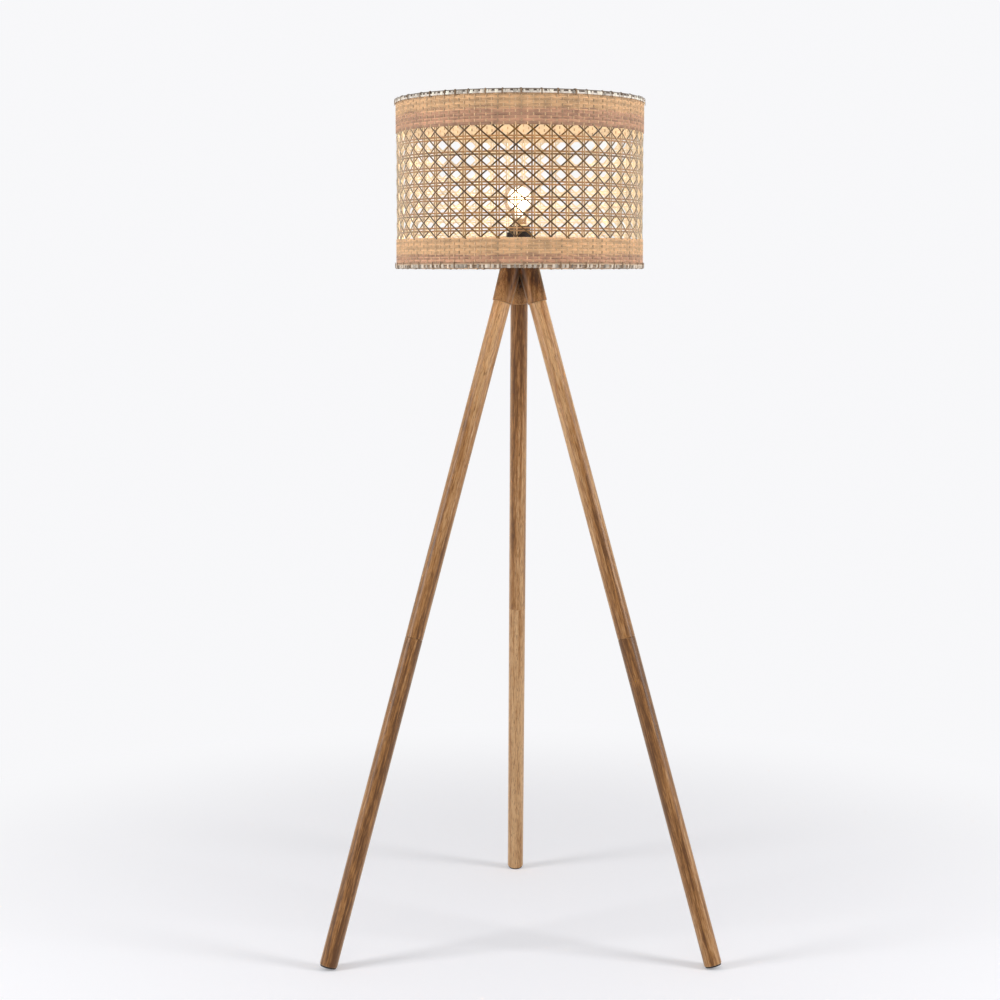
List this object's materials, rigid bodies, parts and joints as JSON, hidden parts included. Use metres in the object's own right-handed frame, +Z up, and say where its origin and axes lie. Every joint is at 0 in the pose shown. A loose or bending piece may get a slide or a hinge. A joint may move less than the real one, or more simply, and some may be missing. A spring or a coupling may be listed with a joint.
{
  "type": "tripod floor lamp",
  "caption": "Floor lamp on splayed round wooden legs, with a woven cane drum shade on a screw-cap lampholder.",
  "frame": {"origin": "on the floor, under the lamp's axis, midway between the feet", "axes": "+Z up along the lamp's axis, -Y towards the front between two legs, +Y towards the rear leg"},
  "size_m": [0.7216, 0.641, 1.5537],
  "materials": {
    "leg_wood": "oiled streaky hardwood, satin",
    "hub_wood": "darker oiled hardwood, satin",
    "cane": "natural peeled cane and reed, woven",
    "rim_wire": "dark brown painted wire",
    "black_holder": "moulded, satin",
    "insulator": "unglazed",
    "zinc_steel": "zinc plated",
    "dark_steel": "black powder coat",
    "brass": "polished",
    "pad": "matt",
    "bush": "moulded",
    "bulb_glass": "clear, thin",
    "bulb_cap": "rolled thread, brass coloured",
    "filament": "amber phosphor",
    "support_wire": "bright wire"
  },
  "bodies": {
    "stand": {"hub": "hub_wood", "hub_inserts": "zinc_steel", "cord_bush": "bush", "holder_plate": "dark_steel", "plate_screws": "zinc_steel", "nipple": "zinc_steel", "nipple_washer": "zinc_steel", "nipple_nut": "zinc_steel", "holder_cap": "black_holder", "holder_shell": "black_holder", "holder_insulator": "insulator", "thread_sleeve": "brass", "centre_contact": "brass", "terminals": "brass", "terminal_screws": "zinc_steel"},
    "clamp_ring": {"clamp_ring": "black_holder"},
    "shade": {"fitter_ring": "dark_steel", "fitter_arms": "dark_steel", "bottom_rim_wire": "rim_wire", "top_rim_wire": "rim_wire", "bottom_band": "cane", "webbing": "cane", "bottom_rim_hoop": "cane", "top_rim_hoop": "cane", "top_band": "cane", "bottom_rim_lashing": "cane", "top_rim_lashing": "cane"},
    "bulb_contact": {"bulb_pip": "zinc_steel"},
    "bulb": {"bulb_glass": "bulb_glass", "bulb_cap": "bulb_cap", "bulb_plug": "black_holder", "bulb_stem": "bulb_glass", "filaments": "filament", "filament_support": "support_wire"},
    "upper_stud_left": {"upper_stud_left": "zinc_steel"},
    "upper_leg_left": {"upper_leg_left": "leg_wood", "leg_insert_left": "zinc_steel"},
    "lower_stud_left": {"lower_stud_left": "zinc_steel"},
    "lower_leg_left": {"lower_leg_left": "leg_wood", "foot_pad_left": "pad"},
    "upper_stud_right": {"upper_stud_right": "zinc_steel"},
    "upper_leg_right": {"upper_leg_right": "leg_wood", "leg_insert_right": "zinc_steel"},
    "lower_stud_right": {"lower_stud_right": "zinc_steel"},
    "lower_leg_right": {"lower_leg_right": "leg_wood", "foot_pad_right": "pad"},
    "upper_stud_rear": {"upper_stud_rear": "zinc_steel"},
    "upper_leg_rear": {"upper_leg_rear": "leg_wood", "leg_insert_rear": "zinc_steel"},
    "lower_stud_rear": {"lower_stud_rear": "zinc_steel"},
    "lower_leg_rear": {"lower_leg_rear": "leg_wood", "foot_pad_rear": "pad"}
  },
  "joints": [
    {"name": "shade_turn", "type": "hinge", "parent": "stand", "child": "shade", "pos_m": [0, 0, 1.3052], "axis": [0, 0, 1], "continuous": true},
    {"name": "clamp_ring_turn", "type": "hinge", "parent": "stand", "child": "clamp_ring", "pos_m": [0, 0, 1.3052], "axis": [0, 0, 1], "range_deg": [0, 1080]},
    {"name": "bulb_lift", "type": "slide", "parent": "stand", "child": "bulb_contact", "axis": [0, 0, 1], "range_m": [0, 0.01815]},
    {"name": "bulb_turn", "type": "hinge", "parent": "bulb_contact", "child": "bulb", "pos_m": [0, 0, 1.3272], "axis": [0, 0, 1], "range_deg": [0, 1800]},
    {"name": "upper_leg_left_draw", "type": "slide", "parent": "stand", "child": "upper_stud_left", "axis": [-0.2532, -0.1462, -0.9563], "range_m": [0, 0.02]},
    {"name": "upper_leg_left_turn", "type": "hinge", "parent": "upper_stud_left", "child": "upper_leg_left", "pos_m": [-0.03256, -0.0188, 1.18872], "axis": [-0.2532, -0.1462, -0.9563], "range_deg": [0, 5760]},
    {"name": "lower_leg_left_draw", "type": "slide", "parent": "upper_leg_left", "child": "lower_stud_left", "axis": [-0.2532, -0.1462, -0.9563], "range_m": [0, 0.02]},
    {"name": "lower_leg_left_turn", "type": "hinge", "parent": "lower_stud_left", "child": "lower_leg_left", "pos_m": [-0.1921, -0.11091, 0.58615], "axis": [-0.2532, -0.1462, -0.9563], "range_deg": [0, 5760]},
    {"name": "upper_leg_right_draw", "type": "slide", "parent": "stand", "child": "upper_stud_right", "axis": [0.2532, -0.1462, -0.9563], "range_m": [0, 0.02]},
    {"name": "upper_leg_right_turn", "type": "hinge", "parent": "upper_stud_right", "child": "upper_leg_right", "pos_m": [0.03256, -0.0188, 1.18872], "axis": [0.2532, -0.1462, -0.9563], "range_deg": [0, 5760]},
    {"name": "lower_leg_right_draw", "type": "slide", "parent": "upper_leg_right", "child": "lower_stud_right", "axis": [0.2532, -0.1462, -0.9563], "range_m": [0, 0.02]},
    {"name": "lower_leg_right_turn", "type": "hinge", "parent": "lower_stud_right", "child": "lower_leg_right", "pos_m": [0.1921, -0.11091, 0.58615], "axis": [0.2532, -0.1462, -0.9563], "range_deg": [0, 5760]},
    {"name": "upper_leg_rear_draw", "type": "slide", "parent": "stand", "child": "upper_stud_rear", "axis": [0, 0.2924, -0.9563], "range_m": [0, 0.02]},
    {"name": "upper_leg_rear_turn", "type": "hinge", "parent": "upper_stud_rear", "child": "upper_leg_rear", "pos_m": [0, 0.0376, 1.18872], "axis": [0, 0.2924, -0.9563], "range_deg": [0, 5760]},
    {"name": "lower_leg_rear_draw", "type": "slide", "parent": "upper_leg_rear", "child": "lower_stud_rear", "axis": [0, 0.2924, -0.9563], "range_m": [0, 0.02]},
    {"name": "lower_leg_rear_turn", "type": "hinge", "parent": "lower_stud_rear", "child": "lower_leg_rear", "pos_m": [0, 0.22182, 0.58615], "axis": [0, 0.2924, -0.9563], "range_deg": [0, 5760]}
  ],
  "couplings": [
    {"joint": "bulb_lift", "follows": "bulb_turn", "m_per_rad": 0.00057773},
    {"joint": "upper_leg_left_draw", "follows": "upper_leg_left_turn", "m_per_rad": 0.00019894},
    {"joint": "lower_leg_left_draw", "follows": "lower_leg_left_turn", "m_per_rad": 0.00019894},
    {"joint": "upper_leg_right_draw", "follows": "upper_leg_right_turn", "m_per_rad": 0.00019894},
    {"joint": "lower_leg_right_draw", "follows": "lower_leg_right_turn", "m_per_rad": 0.00019894},
    {"joint": "upper_leg_rear_draw", "follows": "upper_leg_rear_turn", "m_per_rad": 0.00019894},
    {"joint": "lower_leg_rear_draw", "follows": "lower_leg_rear_turn", "m_per_rad": 0.00019894}
  ]
}
